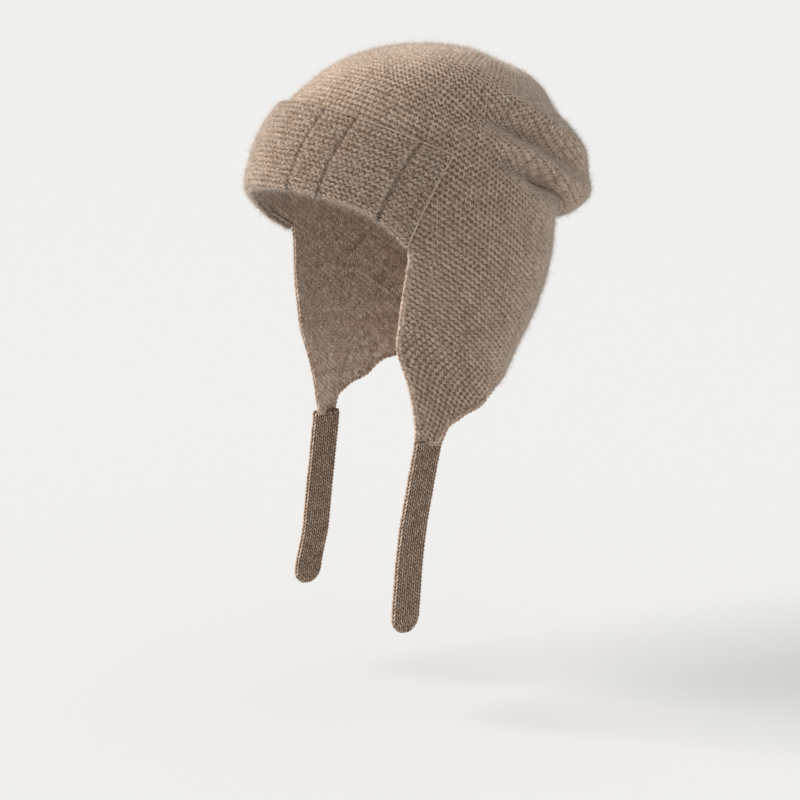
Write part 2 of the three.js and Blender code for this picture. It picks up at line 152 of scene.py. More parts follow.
def unit(vectors: np.ndarray) -> np.ndarray:
    """Vectors at length 1."""
    return vectors / np.maximum(np.linalg.norm(vectors, axis=-1, keepdims=True), 1e-12)


def between(
    x_marks: np.ndarray, y_marks: np.ndarray, table: np.ndarray, x: np.ndarray, y: np.ndarray
) -> np.ndarray:
    """Reads a table of even steps between its marks.

    Args:
        x_marks: Places of its rows.
        y_marks: Places of its columns.
        table: Its values.
        x: Where to read it, along the rows' marks.
        y: Where to read it, along the columns' marks.

    Returns:
        The value at each place.
    """

    def spot(marks: np.ndarray, place: np.ndarray) -> tuple[np.ndarray, np.ndarray]:
        """The mark below a place, and how far on from it the place lies."""
        steps = np.clip((place - marks[0]) / (marks[1] - marks[0]), 0, len(marks) - 1.0001)
        return steps.astype(int), steps % 1

    (i, f), (k, g) = spot(x_marks, x), spot(y_marks, y)
    low = table[i, k] * (1 - g) + table[i, k + 1] * g
    high = table[i + 1, k] * (1 - g) + table[i + 1, k + 1] * g
    return low * (1 - f) + high * f


def from_front(angle: np.ndarray) -> np.ndarray:
    """An angle's distance from the middle of the front, 0 to 180."""
    return np.abs((angle + 180) % 360 - 180)


@dataclass(frozen=True)
class HatForm:
    """The hat's outer surface, placed by an angle round the head and a turn of its knit rings.

    Angles are degrees from the middle of the front towards the wearer's left. Turn 0 is the ring
    from brow to nape, rings below it reach only the flaps, and the last one closes to the pole.
    """

    half_length: float = 104 * MM
    half_width: float = 84 * MM
    crown_height: float = 102 * MM
    flap_drop: float = 143 * MM
    roll_reach: float = 32 * MM
    fold_depth: float = 12 * MM
    wall: float = 3.6 * MM
    egg: float = 0.045
    pole: float = 11.0
    flap_front: float = 66.0
    tip_back: float = 80.0
    sway_hold: float = 46.0
    probe: float = 0.02
    rings: dict[str, Curve] = field(default_factory=dict)

    def __post_init__(self) -> None:
        """Turns the table of rings into one curve for each column, in metres."""
        table = np.array(RINGS, float)
        turns = table[:, 0]

        def lift(z: np.ndarray) -> np.ndarray:
            """Heights of Z shares."""
            return z * np.where(z > 0, self.crown_height, self.flap_drop)

        scale = {"front_y": self.half_length, "side_x": self.half_width, "side_y": self.half_length}
        column = {name: table[:, i] for i, name in enumerate(RING_COLUMNS)}
        for name, values in column.items():
            if name.endswith("_z"):
                values = lift(values)
            elif name == "back_y":
                values = values * self.half_length + column["roll"] * self.roll_reach
            self.rings[name] = Curve(turns, values * scale.get(name, 1))

    def smooth(self, angle: np.ndarray, turn: np.ndarray) -> np.ndarray:
        """Points of the outer surface before its folds.

        Args:
            angle: Degrees round the head.
            turn: Turns up the knit.

        Returns:
            One point for each place.
        """
        ring = {name: curve.at(turn) for name, curve in self.rings.items()}
        a = np.radians(angle)

        def round_the_ring(axis: str) -> np.ndarray:
            """A height or depth that passes through the ring's front, side and back."""
            front, side, back = (ring[f"{at}_{axis}"] for at in ("front", "side", "back"))
            even, lean = (front + back + 2 * side) / 4, (front - back) / 2
            return even + lean * np.cos(a) + (front + back - 2 * side) / 4 * np.cos(2 * a)

        sine = np.sin(a)
        power = np.where(np.cos(a) < 0, 1 - ring["blunt"], 1.0)
        across = np.sign(sine) * np.abs(sine) ** power - self.egg * np.sin(2 * a)
        return np.stack([ring["side_x"] * across, round_the_ring("y"), round_the_ring("z")], -1)

    def normal(self, angle: np.ndarray, turn: np.ndarray) -> np.ndarray:
        """Outward normals of the smooth surface."""
        step = self.probe
        t = np.minimum(turn, self.pole - 2 * step)
        along = self.smooth(angle + step, t) - self.smooth(angle - step, t)
        up = self.smooth(angle, t + step) - self.smooth(angle, t - step)
        return unit(np.cross(along, up))

    def fold(self, angle: np.ndarray, turn: np.ndarray) -> np.ndarray:
        """How far the folds move the surface outwards."""
        whole = angle % 360
        moved = np.zeros(np.broadcast(angle, turn).shape)
        for middle_turn, middle, slant, reach, width, tall in FOLDS:
            along = (whole - middle) / reach
            across = (turn - middle_turn - slant * (whole - middle)) / width
            moved += tall * self.fold_depth * np.exp(-(along**2) - across**2)
        return moved

    def point(self, angle: np.ndarray, turn: np.ndarray, outward: np.ndarray = 0.0) -> np.ndarray:
        """Points at a distance outside the finished outer surface.

        Args:
            angle: Degrees round the head.
            turn: Turns up the knit.
            outward: Distance outside, negative inside.

        Returns:
            One point for each place.
        """
        out = self.fold(angle, turn) + outward
        return self.smooth(angle, turn) + self.normal(angle, turn) * out[..., None]

    def turns_of(self, angle: np.ndarray, turn: np.ndarray, length: float) -> np.ndarray:
        """Turns that a length takes up the knit, near a turn."""
        step = 0.5
        there = self.smooth(angle, turn + step)
        return length * step / np.linalg.norm(there - self.smooth(angle, turn), axis=-1)

    def clamped(self, angle: np.ndarray) -> np.ndarray:
        """An angle as -180 to 180, held between the flaps' front edges."""
        return np.clip((angle + 180) % 360 - 180, -self.flap_front, self.flap_front)

    def band_low(self, angle: np.ndarray) -> np.ndarray:
        """Turn of the band's lower edge."""
        return BAND_LOW.at(self.clamped(angle) / self.flap_front)

    def start(self, angle: np.ndarray, tucked: float) -> np.ndarray:
        """Turn where the crown's columns begin, above the band's fold.

        Args:
            angle: Degrees round the head.
            tucked: How far above the band's lower edge the crown's own edge lies.

        Returns:
            The turn for each angle.
        """
        held = self.clamped(angle)
        low = self.band_low(held)
        return low + self.turns_of(held, low, tucked)

    def swayed(self, angle: np.ndarray, turn: np.ndarray) -> np.ndarray:
        """Angles that follow the wandering front edge of a flap, below turn 0."""
        away = from_front(angle)
        share = np.clip(1 - (away - self.flap_front) / self.sway_hold, 0, 1)
        moves = (turn < 0) & (away > self.flap_front - 1e-6)
        sway = np.where(moves, FLAP_EDGE_SWAY.at(turn) * share, 0)
        return angle + np.where((angle + 180) % 360 < 180, -sway, sway)


# Yarn
class Side(Enum):
    """The side of the wearer that a flap and its tie hang on."""

    LEFT = 1
    RIGHT = -1


@dataclass(frozen=True)
class Stitch:
    """One loop of the knit, as the yarn runs through it."""

    wale: float
    course: float
    yarn: float
    depth: float
    spread: float = 0.2
    reach: float = 0.76
    steps: int = 8

    def swing(self, count: float) -> tuple[np.ndarray, np.ndarray, np.ndarray, np.ndarray]:
        """The yarn's way through a row of stitches, with the arcs outward as on the purl side.

        Args:
            count: How many stitches the row has.

        Returns:
            The stitch that each point belongs to, then its place along in stitches, up in
            courses, and out in metres.
        """
        number = np.arange(int(round(count * self.steps)) + 1) / self.steps
        phase = number * 2 * math.pi
        along = number + self.spread * np.sin(2 * phase)
        up = self.reach * np.cos(phase)
        out = self.depth * np.cos(2 * phase)
        return np.floor(number).astype(int), along, up, out


class YarnMesh:
    """Strands of yarn that are gathered and then made into one mesh."""

    def __init__(self, sides: int = 3) -> None:
        """Starts with no strands.

        Args:
            sides: Faces round a strand.
        """
        self.sides = sides
        self.points: list[np.ndarray] = []
        self.quads: list[np.ndarray] = []
        self.tris: list[np.ndarray] = []
        self.quad_maps: list[np.ndarray] = []
        self.tri_maps: list[np.ndarray] = []
        self.tints: list[np.ndarray] = []
        self.size = 0

    def strands(
        self, path: np.ndarray, out: np.ndarray, radius: np.ndarray | float, tint: np.ndarray
    ) -> None:
        """Adds strands with equal numbers of points.

        Args:
            path: Points of each strand, as strand, point and axis.
            out: A direction for each point that the strand's section is set out from.
            radius: Radius of the yarn, at each point or all over.
            tint: A shade from 0 to 1 at each point.
        """
        many, length, _ = path.shape
        sides = self.sides
        forward = unit(np.gradient(path, axis=1))
        aside = unit(np.cross(out, forward))
        above = np.cross(forward, aside)
        turned = (np.arange(sides) / sides + 0.25) * 2 * math.pi
        radius = np.broadcast_to(radius, (many, length))[..., None, None]
        section = (
            aside[:, :, None] * np.cos(turned)[:, None]
            + above[:, :, None] * np.sin(turned)[:, None]
        )
        points = path[:, :, None] + section * radius
        index = self.size + np.arange(many * length * sides).reshape(many, length, sides)
        after = np.roll(index, -1, 2)
        sheath = np.stack([index[:, :-1], after[:, :-1], after[:, 1:], index[:, 1:]], -1)
        self.quads.append(sheath.reshape(-1, 4))
        run = np.linalg.norm(np.diff(path, axis=1), axis=-1).cumsum(1) / MM
        run = np.concatenate([np.zeros((many, 1)), run], 1)[..., None]
        around = np.arange(sides + 1) / sides
        here, there = run[:, :-1], run[:, 1:]
        corner = np.stack(
            [
                np.stack(np.broadcast_arrays(here, around[:-1]), -1),
                np.stack(np.broadcast_arrays(here, around[1:]), -1),
                np.stack(np.broadcast_arrays(there, around[1:]), -1),
                np.stack(np.broadcast_arrays(there, around[:-1]), -1),
            ],
            -2,
        )
        self.quad_maps.append(corner.reshape(-1, 2))
        for ring, turn_round in ((index[:, 0], True), (index[:, -1], False)):
            ring = ring[:, ::-1] if turn_round else ring
            for k in range(1, sides - 1):
                self.tris.append(np.stack([ring[:, 0], ring[:, k], ring[:, k + 1]], -1))
                self.tri_maps.append(np.zeros((many * 3, 2)))
        self.points.append(points.reshape(-1, 3))
        self.tints.append(np.repeat(np.broadcast_to(tint, (many, length)).reshape(-1), sides))
        self.size += many * length * sides

    def legs(
        self, middle: np.ndarray, reach: np.ndarray, out: np.ndarray, rise: float, yarn: float,
        tint: np.ndarray,
    ) -> None:
        """Adds short swollen strands, the legs of plain stitches.

        Args:
            middle: The middle of each leg.
            reach: From its middle to its end.
            out: The outward direction at each leg.
            rise: How far its middle stands above its ends.
            yarn: Radius of its middle.
            tint: A shade from 0 to 1 for each leg.
        """
        share = np.array([-1, -0.55, 0, 0.55, 1])[None, :, None]
        path = middle[:, None] + reach[:, None] * share - out[:, None] * rise * share**2
        radius = yarn * np.array([0.3, 0.82, 1, 0.82, 0.3])
        self.strands(path, np.repeat(out[:, None], 5, 1), radius, np.repeat(tint[:, None], 5, 1))

    def fibres(self, root: np.ndarray, lean: np.ndarray, aside: np.ndarray, width: float) -> None:
        """Adds fine straight fibres that taper to a tip.

        Args:
            root: Where each fibre starts.
            lean: From the root to the tip.
            aside: Any direction across each fibre.
            width: Width of a fibre at its root.
        """
        many = len(root)
        aside = unit(np.cross(lean, aside)) * width / 2
        above = unit(np.cross(lean, aside)) * width / 2
        corners = np.stack([-aside - above / 2, aside - above / 2, above], 1)
        points = np.concatenate([root[:, None] + corners, (root + lean)[:, None]], 1)
        index = self.size + np.arange(many * 4).reshape(many, 4)
        for face in ([0, 1, 3], [1, 2, 3], [2, 0, 3], [2, 1, 0]):
            self.tris.append(index[:, face])
            self.tri_maps.append(np.zeros((many * 3, 2)))
        self.points.append(points.reshape(-1, 3))
        self.tints.append(np.repeat(np.linspace(0, 1, many), 4))
        self.size += many * 4

    def make(self, name: str) -> bpy.types.Object:
        """Makes the mesh.

        Args:
            name: The new piece's name.

        Returns:
            The piece, at the origin.
        """
        quads = np.concatenate([*self.quads, np.zeros((0, 4), int)])
        tris = np.concatenate(self.tris)
        maps = np.concatenate(self.quad_maps + self.tri_maps)
        piece = mesh_piece(name, np.concatenate(self.points), quads, tris)
        piece.data.uv_layers.new(name=PATTERN_MAP).uv.foreach_set("vector", maps.ravel())
        shade = piece.data.attributes.new("tint", "FLOAT", "POINT")
        shade.data.foreach_set("value", np.concatenate(self.tints).astype(np.float32))
        return piece


def mesh_piece(
    name: str, points: np.ndarray, quads: np.ndarray, tris: np.ndarray
) -> bpy.types.Object:
    """Makes a smooth-shaded mesh object in the scene.

    Args:
        name: The new piece's name.
        points: Its vertices.
        quads: Vertex numbers of its four-sided faces.
        tris: Vertex numbers of its triangles.

    Returns:
        The object, at the origin.
    """
    mesh = bpy.data.meshes.new(name)
    corners = np.concatenate([quads.ravel(), tris.ravel()]).astype(np.int32)
    starts = np.concatenate([np.arange(len(quads)) * 4, quads.size + np.arange(len(tris)) * 3])
    mesh.vertices.add(len(points))
    mesh.vertices.foreach_set("co", points.astype(np.float32).ravel())
    mesh.loops.add(len(corners))
    mesh.loops.foreach_set("vertex_index", corners)
    mesh.polygons.add(len(starts))
    mesh.polygons.foreach_set("loop_start", starts.astype(np.int32))
    mesh.update(calc_edges=True)
    mesh.shade_smooth()
    piece = bpy.data.objects.new(name, mesh)
    bpy.context.scene.collection.objects.link(piece)
    return piece


def thin_sheet(
    name: str, inner: np.ndarray, outer: np.ndarray, quads: np.ndarray, tris: np.ndarray
) -> bpy.types.Object:
    """Makes a closed thin sheet from its two faces and the rim between them.

    Args:
        name: The new piece's name.
        inner: Points of the inner face.
        outer: Points of the outer face, in the same order.
        quads: Four-sided faces, turned so that they face out.
        tris: Triangles, turned the same way.

    Returns:
        The piece, at the origin.
    """
    count = len(outer)
    edges = [quads[:, [k, (k + 1) % 4]] for k in range(4)]
    edges = np.concatenate(edges + [tris[:, [k, (k + 1) % 3]] for k in range(3)])
    there = {(a, b) for a, b in edges.tolist()}
    rim = np.array([(a, b) for a, b in edges.tolist() if (b, a) not in there])
    walls = np.stack([rim[:, 1], rim[:, 0], rim[:, 0] + count, rim[:, 1] + count], -1)
    all_quads = np.concatenate([quads, quads[:, ::-1] + count, walls])
    all_tris = np.concatenate([tris, tris[:, ::-1] + count])
    return mesh_piece(name, np.concatenate([outer, inner]), all_quads, all_tris)


# Finishes
def linear(colour: str) -> tuple[float, float, float, float]:
    """An sRGB hex colour as linear red, green, blue and alpha."""
    shares = [int(colour[i : i + 2], 16) / 255 for i in (1, 3, 5)]
    return (*[c / 12.92 if c <= 0.04045 else ((c + 0.055) / 1.055) ** 2.4 for c in shares], 1.0)


def add_node(
    material: bpy.types.Material,
    kind: str,
    settings: dict[str, object] | None = None,
    values: dict[str | int, object] | None = None,
    links: dict[str | int, bpy.types.NodeSocket] | None = None,
) -> bpy.types.Node:
    """Adds a node to a material.

    Args:
        material: The material.
        kind: The node's type name.
        settings: Its own settings.
        values: What its unlinked inputs are set to.
        links: The output that each linked input reads.

    Returns:
        The node.
    """
    node = material.node_tree.nodes.new(kind)
    for name, value in (settings or {}).items():
        setattr(node, name, value)
    for name, value in (values or {}).items():
        node.inputs[name].default_value = value
    for name, socket in (links or {}).items():
        material.node_tree.links.new(socket, node.inputs[name])
    return node


@dataclass(frozen=True)
class BrushedYarn:
    """Wool yarn that is carded from fibres of several shades and then brushed.

    The shades give it a heather look, the ply gives it fine slanting lines, and the raised fibres
    catch light at grazing angles as a soft sheen.
    """

    name: str
    dark: str
    middle: str
    light: str
    painted_rib_shade: str = "#2e231b"  # painted shade, deep in a sunk rib where no light reaches
    heather: float = 2.6  # mm between flecks of one shade
    ply: float = 1.1  # mm along the yarn from one slanting line to the next
    fibre: float = 0.14  # mm across a fibre, which shows only close up
    sheen: float = 1.0

    def material(self) -> bpy.types.Material:
        """Makes the material.

        Returns:
            The material, which reads the piece's yarn map and its tint.
        """
        material = bpy.data.materials.new(self.name)
        material.use_nodes = True
        material.node_tree.nodes.clear()
        place = add_node(material, "ShaderNodeTexCoord")
        flecks = add_node(
            material,
            "ShaderNodeTexNoise",
            values={"Scale": 1 / (self.heather * MM), "Detail": 3.0, "Roughness": 0.65},
            links={"Vector": place.outputs["Object"]},
        )
        tint = add_node(material, "ShaderNodeAttribute", {"attribute_name": "tint"})
        shade = add_node(
            material,
            "ShaderNodeMath",
            {"operation": "MULTIPLY_ADD"},
            {1: 0.34},
            {0: tint.outputs["Fac"], 2: flecks.outputs["Fac"]},
        )
        ramp = add_node(material, "ShaderNodeValToRGB", links={"Fac": shade.outputs[0]})
        stops = ramp.color_ramp.elements
        stops[0].position, stops[0].color = 0.42, linear(self.dark)
        stops[1].position, stops[1].color = 0.92, linear(self.light)
        stops.new(0.66).color = linear(self.middle)
        # Painted shade: tints below the dark stop fall towards this colour, as in the band's sunk
        # ribs.
        stops.new(0.12).color = linear(self.painted_rib_shade)
        along = add_node(material, "ShaderNodeUVMap", {"uv_map": PATTERN_MAP})
        slant = add_node(
            material,
            "ShaderNodeMapping",
            values={"Scale": (1 / self.ply, 2.0, 1.0), "Rotation": (0, 0, 0)},
            links={"Vector": along.outputs["UV"]},
        )
        ply = add_node(
            material,
            "ShaderNodeTexWave",
            {"wave_type": "BANDS", "bands_direction": "DIAGONAL"},
            {"Scale": 0.32, "Distortion": 1.6, "Detail": 2.0, "Detail Scale": 2.0},
            {"Vector": slant.outputs["Vector"]},
        )
        fibres = add_node(
            material,
            "ShaderNodeTexNoise",
            values={"Scale": 1 / (self.fibre * MM), "Detail": 2.0},
            links={"Vector": place.outputs["Object"]},
        )
        height = add_node(
            material,
            "ShaderNodeMath",
            {"operation": "MULTIPLY_ADD"},
            {1: 0.5},
            {0: fibres.outputs["Fac"], 2: ply.outputs["Fac"]},
        )
        bump = add_node(
            material,
            "ShaderNodeBump",
            values={"Strength": 0.55, "Distance": 0.18 * MM},
            links={"Height": height.outputs[0]},
        )
        shader = add_node(
            material,
            "ShaderNodeBsdfPrincipled",
            values={
                "Roughness": 0.92,
                "IOR": 1.45,
                "Specular IOR Level": 0.25,
                "Sheen Weight": self.sheen,
                "Sheen Roughness": 0.45,
                "Sheen Tint": linear("#f2e6da"),
            },
            links={"Base Color": ramp.outputs["Color"], "Normal": bump.outputs["Normal"]},
        )
        add_node(
            material, "ShaderNodeOutputMaterial", links={"Surface": shader.outputs["BSDF"]}
        )
        return material


@dataclass(frozen=True)
class LooseFibre:
    """Single wool fibres, coloured paler than the yarn as painted light for the light that passes
    through them.
    """

    name: str
    deep: str
    pale: str
    sheen: float = 1.0

    def material(self) -> bpy.types.Material:
        """Makes the material.

        Returns:
            The material, whose shade changes from fibre to fibre.
        """
        material = bpy.data.materials.new(self.name)
        material.use_nodes = True
        material.node_tree.nodes.clear()
        tint = add_node(material, "ShaderNodeAttribute", {"attribute_name": "tint"})
        ramp = add_node(material, "ShaderNodeValToRGB", links={"Fac": tint.outputs["Fac"]})
        stops = ramp.color_ramp.elements
        stops[0].color, stops[1].color = linear(self.deep), linear(self.pale)
        shader = add_node(
            material,
            "ShaderNodeBsdfPrincipled",
            values={
                "Roughness": 0.9,
                "Specular IOR Level": 0.2,
                "Sheen Weight": self.sheen,
                "Sheen Roughness": 0.5,
                "Sheen Tint": linear("#fff6ec"),
            },
            links={"Base Color": ramp.outputs["Color"]},
        )
        add_node(
            material, "ShaderNodeOutputMaterial", links={"Surface": shader.outputs["BSDF"]}
        )
        return material


@dataclass(frozen=True)
class FeltWithPaintedShade:
    """The tangle of fibres that closes the gaps between stitches, with a deep tone that is painted
    shade for the gaps.
    """

    name: str
    dark: str
    light: str
    tangle: float = 0.8  # mm between knots of fibre

    def material(self) -> bpy.types.Material:
        """Makes the material.

        Returns:
            The material, patterned by place on the piece.
        """
        material = bpy.data.materials.new(self.name)
        material.use_nodes = True
        material.node_tree.nodes.clear()
        place = add_node(material, "ShaderNodeTexCoord")
        knots = add_node(
            material,
            "ShaderNodeTexNoise",
            values={"Scale": 1 / (self.tangle * MM), "Detail": 4.0, "Roughness": 0.7},
            links={"Vector": place.outputs["Object"]},
        )
        ramp = add_node(material, "ShaderNodeValToRGB", links={"Fac": knots.outputs["Fac"]})
        stops = ramp.color_ramp.elements
        stops[0].position, stops[0].color = 0.35, linear(self.dark)
        stops[1].position, stops[1].color = 0.7, linear(self.light)
        bump = add_node(
            material,
            "ShaderNodeBump",
            values={"Strength": 0.8, "Distance": 0.3 * MM},
            links={"Height": knots.outputs["Fac"]},
        )
        shader = add_node(
            material,
            "ShaderNodeBsdfPrincipled",
            values={"Roughness": 1.0, "Specular IOR Level": 0.15, "Sheen Weight": 0.15},
            links={"Base Color": ramp.outputs["Color"], "Normal": bump.outputs["Normal"]},
        )
        add_node(
            material, "ShaderNodeOutputMaterial", links={"Surface": shader.outputs["BSDF"]}
        )
        return material


@dataclass(frozen=True)
class MattePaper:
    """Seamless studio paper: flat, matte and nearly white."""

    name: str
    colour: str

    def material(self) -> bpy.types.Material:
        """Makes the material.

        Returns:
            The material, one colour all over.
        """
        material = bpy.data.materials.new(self.name)
        material.use_nodes = True
        material.node_tree.nodes.clear()
        shader = add_node(
            material,
            "ShaderNodeBsdfPrincipled",
            values={
                "Base Color": linear(self.colour),
                "Roughness": 0.95,
                "Specular IOR Level": 0.1,
            },
        )
        add_node(
            material, "ShaderNodeOutputMaterial", links={"Surface": shader.outputs["BSDF"]}
        )
        return material


def dress(
    piece: bpy.types.Object, material: bpy.types.Material, node: str
) -> bpy.types.Object:
    """Gives a piece its material, hangs it from the root and hides the part of the frame that it
    stands for.

    Args:
        piece: The piece.
        material: Its material.
        node: The frame's node that it stands for.

    Returns:
        The same piece.
    """
    piece.data.materials.append(material)
    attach(piece, "root")
    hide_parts(node)
    log.info("%s: %d faces", piece.name, len(piece.data.polygons))
    return piece


@dataclass
class Nap:
    """Loose fibres that stand on a knitted face."""

    per_square_mm: float
    length: float = 3.0 * MM
    longest: float = 8 * MM
    width: float = 0.15 * MM
    seed: int = 7

    def grow(
        self, name: str, faces: list[tuple[np.ndarray, np.ndarray, float]]
    ) -> bpy.types.Object:
        """Grows the fibres.

        Args:
            name: The new piece's name.
            faces: For each face of the knit, the corners of its patches, the normal at each
                corner and how thick the nap stands there, where 1 is full.

        Returns:
            The piece, at the origin.
        """
        rng = np.random.default_rng(self.seed)
        mesh = YarnMesh()
        for corners, normals, thick in faces:
            cross = np.cross(corners[:, 2] - corners[:, 0], corners[:, 3] - corners[:, 1])
            area = np.linalg.norm(cross, axis=-1) / 2
            many = int(area.sum() / MM**2 * self.per_square_mm * thick)
            patch = rng.choice(len(area), many, p=area / area.sum())
            u, v = rng.random((2, many, 1))
            weights = np.stack([(1 - u) * (1 - v), u * (1 - v), u * v, (1 - u) * v], 1)
            root = (corners[patch] * weights).sum(1)
            normal = unit((normals[patch] * weights).sum(1))
            wild = rng.normal(size=(many, 3))
            comb = unit(np.cross(normal, wild))
            upright = normal * rng.uniform(0.25, 1.0, (many, 1))
            lean = unit(upright + comb * rng.uniform(0.2, 1.0, (many, 1)))
            length = np.minimum(self.length * rng.lognormal(0, 0.42, (many, 1)), self.longest)
            mesh.fibres(root, lean * length, comb, self.width)
        return mesh.make(name)


def patches(points: np.ndarray, normals: np.ndarray, quads: np.ndarray) -> tuple:
    """Corner points and corner normals of four-sided faces."""
    return points[quads], normals[quads]


# The hat
@dataclass
class KnitHood:
    """The crown, the slouched back, the nape and both ear flaps, knitted in one."""

    form: HatForm
    stitch: Stitch = field(
        default_factory=lambda: Stitch(
            wale=3.6 * MM, course=3.6 * MM, yarn=1.12 * MM, depth=0.72 * MM
        )
    )
    node: str = "crown_and_flaps"
    slot: str = "body_knit"
    tucked: float = 4.2 * MM
    chain_step: float = 3.3 * MM
    chain_leg: float = 2.0 * MM
    chain_yarn: float = 0.98 * MM
    chain_rise: float = 0.75 * MM  # from the middle of the wall to a leg
    chain_bulge: float = 0.5 * MM
    chain_lean: float = 0.55 * MM
    chain_places: tuple[float, float] = (0.5 * MM, 2.0 * MM)  # the two rows of legs, inward
    nap_depth: float = 0.4 * MM
    nap_parts: tuple[tuple[str, float, float, int], ...] = (
        ("low", -9, 1.6, 11),  # name, turns from and to, seed
        ("middle", 1.6, 5.6, 12),
        ("high", 5.6, 12, 13),
    )
    backing: float = 0.9 * MM
    seam_angle: float = 200.0
    rows_up: int = 60
    zones: tuple[tuple[str, float, float], ...] = (
        ("flap_courses", -50, 2),
        ("side_courses", 2, 18),
        ("slouch_courses", 18, 34),
        ("crown_courses", 34, 60),
    )

    def columns(self) -> np.ndarray:
        """Angles of the backing's columns, the flaps' front edges among them."""
        front, tip = self.form.flap_front, self.form.tip_back
        half = [np.linspace(0, front, 17)[:-1], np.linspace(front, tip, 5)[:-1]]
        half = np.concatenate([*half, np.linspace(tip, 180, 31)[:-1]])
        return np.concatenate([half, [180], 360 - half[:0:-1]])

    def layout(self) -> tuple[np.ndarray, np.ndarray, np.ndarray, np.ndarray]:
        """Places and faces of the backing.

        Returns:
            The angle and turn of each point, then four-sided faces and triangles.
        """
        rows, flap_rows = 56, 22
        angles = self.columns()
        count = len(angles)
        start = self.form.start(angles, self.tucked)
        share = np.arange(rows) / rows
        turn = start[:, None] + (self.form.pole - start[:, None]) * share
        angle = np.repeat(angles[:, None], rows, 1)
        crown = np.arange(count * rows).reshape(count, rows)
        after = np.roll(crown, -1, 0)
        quads = [np.stack([crown[:, :-1], after[:, :-1], after[:, 1:], crown[:, 1:]], -1)]
        pole = count * rows
        tris = np.stack([crown[:, -1], after[:, -1], np.full(count, pole)], -1)
        places_a, places_t = [angle.ravel(), [0.0]], [turn.ravel(), [self.form.pole]]
        back = np.flatnonzero(from_front(angles) >= self.form.flap_front - 1e-6)
        bottom = LOWER_EDGE.at(from_front(angles[back]))
        low_share = np.arange(flap_rows) / flap_rows
        low_turn = bottom[:, None] + (start[back] - bottom)[:, None] * low_share
        low_angle = self.form.swayed(np.repeat(angles[back][:, None], flap_rows, 1), low_turn)
        flap = pole + 1 + np.arange(low_turn.size).reshape(len(back), flap_rows)
        flap = np.concatenate([flap, crown[back, :1]], 1)
        quads.append(np.stack([flap[:-1, :-1], flap[1:, :-1], flap[1:, 1:], flap[:-1, 1:]], -1))
        places_a.append(low_angle.ravel())
        places_t.append(low_turn.ravel())
        faces = np.concatenate([q.reshape(-1, 4) for q in quads])
        return np.concatenate(places_a), np.concatenate(places_t), faces, tris

    def make_backing(self) -> tuple[bpy.types.Object, tuple[np.ndarray, ...]]:
        """Makes the thin felted layer in the middle of the wall.

        Returns:
            The piece, and its layout.
        """
        layout = angle, turn, quads, tris = self.layout()
        middle, half = -self.form.wall / 2, self.backing / 2
        outer = self.form.point(angle, turn, middle + half)
        inner = self.form.point(angle, turn, middle - half)
        return thin_sheet("hood_backing", inner, outer, quads, tris), layout

    def row_table(self) -> tuple[np.ndarray, np.ndarray, np.ndarray]:
        """Turns of the courses at every angle, so that the rows lie an even length apart.

        Below turn 0 the rows keep one spacing. Above it each column has the same number of rows,
        since the rings close to the pole.

        Returns:
            The angles and rows of the table, and the turn of each row at each angle.
        """
        angles, turn = np.arange(0, 361, 2.0), np.linspace(-4.3, self.form.pole - 0.02, 1400)
        line = self.form.smooth(angles[:, None] + 0 * turn, turn + 0 * angles[:, None])
        steps = np.linalg.norm(np.diff(line, axis=1), axis=-1)
        run = np.concatenate([np.zeros((len(angles), 1)), steps.cumsum(1)], 1)
        rows = np.arange(-42, self.rows_up + 0.01, 0.25)
        turns = np.empty((len(angles), len(rows)))
        for i, length in enumerate(run):
            level = length - np.interp(0, turn, length)
            spacing = np.where(rows < 0, self.stitch.course, level[-1] / self.rows_up)
            turns[i] = np.interp(rows * spacing, level, turn)
        return angles, rows, turns

    def wale_count(self, length: float, before: int) -> int:
        """How many stitches a ring has.

        Args:
            length: The ring's length.
            before: How many the ring below it has, or 0.

        Returns:
            The same number while the stitches keep near their width, or one that fits.
        """
        fits = length / self.stitch.wale
        if before and 0.84 < fits / before < 1.12:
            return before
        return max(6, int(round(fits)))

    def inside(self, angle: np.ndarray, turn: np.ndarray) -> np.ndarray:
        """Whether places lie on the knit, with a hair's room to its edges."""
        away = from_front(angle)
        in_front = away < self.form.flap_front
        bottom = np.where(
            in_front, self.form.start(angle, self.tucked) + 0.02, LOWER_EDGE.at(away) + 0.04
        )
        return turn > bottom

    def make_courses(self) -> list[bpy.types.Object]:
        """Knits the courses, ring by ring.

        Returns:
            One piece for each zone of the hat.
        """
        rng = np.random.default_rng(3)
        grid, rows, turns = self.row_table()
        made, count = {name: YarnMesh() for name, _, _ in self.zones}, 0
        for row in range(int(rows[0]) + 2, self.rows_up - 1):
            ring = self.form.smooth(grid, turns[:, np.searchsorted(rows, row)])
            length = np.linalg.norm(np.diff(ring, axis=0), axis=-1).cumsum()
            run = np.concatenate([[0], length])
            count = self.wale_count(run[-1], count)
            number, along, up, out = self.stitch.swing(count)
            jitter = rng.normal(size=(3, count + 1))[:, number]
            seam = np.interp(self.seam_angle, grid, run)
            along = along + 0.5 * (row % 2)  # neighbouring courses sit between each other's loops
            even = np.interp((along / count * run[-1] + seam) % run[-1], run, grid)
            t = between(grid, rows, turns, even, row + up + 0.05 * jitter[0])
            angle = self.form.swayed(even, t)
            lift = -self.form.wall / 2 + out * (1 + 0.1 * jitter[1])
            path = self.form.point(angle, t, lift)
            normal = self.form.normal(angle, t)
            tint = np.clip(0.5 + 0.22 * jitter[2], 0, 1)
            zone = next(name for name, low, high in self.zones if low <= row < high)
            for kept in runs_of(self.inside(even, t)):
                made[zone].strands(
                    path[None, kept], normal[None, kept], self.stitch.yarn, tint[None, kept]
                )
        return [mesh.make(name) for name, mesh in made.items()]

